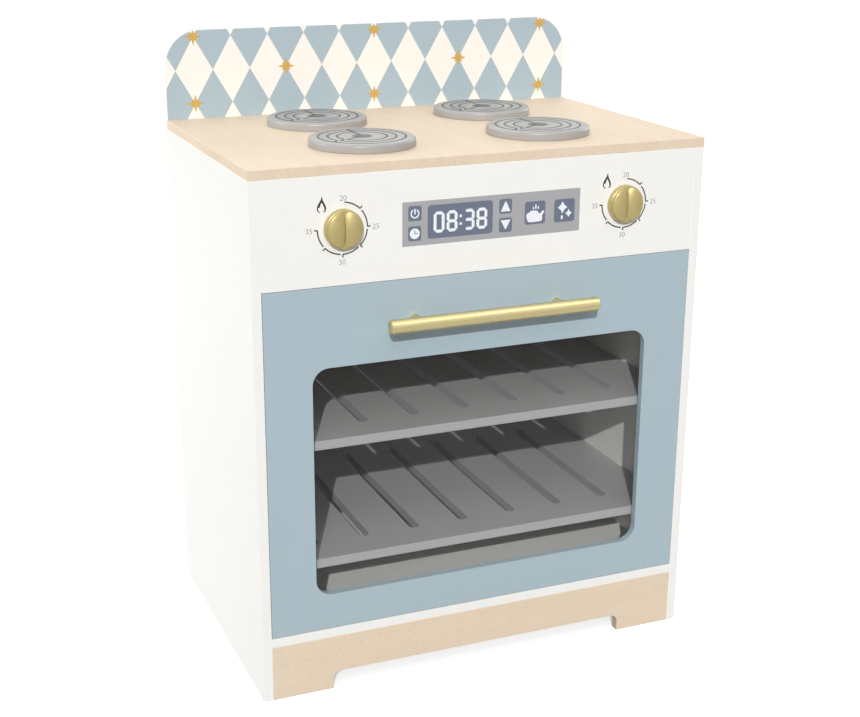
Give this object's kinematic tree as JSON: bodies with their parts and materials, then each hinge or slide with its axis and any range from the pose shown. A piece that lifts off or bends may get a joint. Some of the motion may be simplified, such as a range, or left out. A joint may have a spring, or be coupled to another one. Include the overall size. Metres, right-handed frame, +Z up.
{
  "type": "toy oven",
  "caption": "Wooden toy oven with a windowed drop-down door, bar handle, slotted racks, turning knobs, hob plates on a beech top and a tall patterned back board.",
  "frame": {"origin": "on the floor, under the middle of the whole object's box, door handle included", "axes": "+X to the right seen from the front, +Y from the front to the back, +Z up"},
  "size_m": [0.401, 0.2906, 0.5336],
  "materials": {
    "white_lacquer": "satin painted board",
    "beech": "satin clear lacquer",
    "blue_lacquer": "satin painted board",
    "grey_lacquer": "satin paint",
    "dowel_wood": "bare turned wood",
    "zinc_steel": "zinc plated",
    "white_nylon": "moulded",
    "ferrite": "plain",
    "clear_acrylic": "clear polished",
    "brass_look_metal": "satin brass colour",
    "brass_look_plastic": "satin brass colour"
  },
  "bodies": {
    "cabinet": {"left_side_panel": "white_lacquer", "right_side_panel": "white_lacquer", "base_panel": "white_lacquer", "top_panel": "beech", "back_panel": "white_lacquer", "control_panel": "white_lacquer", "plinth_board": "beech", "upper_rack": "grey_lacquer", "lower_rack": "grey_lacquer", "rack_pegs": "dowel_wood", "stop_pegs": "dowel_wood", "dowels": "dowel_wood", "back_screws": "zinc_steel", "left_hinge_bush": "white_nylon", "right_hinge_bush": "white_nylon", "burner_front_left": "grey_lacquer", "burner_front_right": "grey_lacquer", "burner_rear_left": "grey_lacquer", "burner_rear_right": "grey_lacquer", "burner_screws": "zinc_steel", "catch_housing": "white_nylon", "catch_magnet": "ferrite", "catch_screws": "zinc_steel"},
    "door": {"door_panel": "blue_lacquer", "door_pane": "clear_acrylic", "pane_screws": "zinc_steel", "handle_bar": "brass_look_metal", "left_handle_post": "brass_look_metal", "right_handle_post": "brass_look_metal", "handle_screws": "zinc_steel", "left_hinge_pin": "zinc_steel", "right_hinge_pin": "zinc_steel", "strike_plate": "zinc_steel", "strike_screw": "zinc_steel"},
    "left_knob_turning": {"left_knob": "brass_look_plastic", "left_knob_washer": "zinc_steel", "left_knob_screw": "zinc_steel"},
    "right_knob_turning": {"right_knob": "brass_look_plastic", "right_knob_washer": "zinc_steel", "right_knob_screw": "zinc_steel"}
  },
  "joints": [
    {"name": "door_hinge", "type": "hinge", "parent": "cabinet", "child": "door", "pos_m": [0, -0.1157, 0.07419], "axis": [1, 0, 0], "range_deg": [0, 90]},
    {"name": "left_knob_turn", "type": "hinge", "parent": "cabinet", "child": "left_knob_turning", "pos_m": [-0.125, -0.1197, 0.40315], "axis": [0, 1, 0], "continuous": true},
    {"name": "right_knob_turn", "type": "hinge", "parent": "cabinet", "child": "right_knob_turning", "pos_m": [0.125, -0.1197, 0.40315], "axis": [0, 1, 0], "continuous": true}
  ]
}
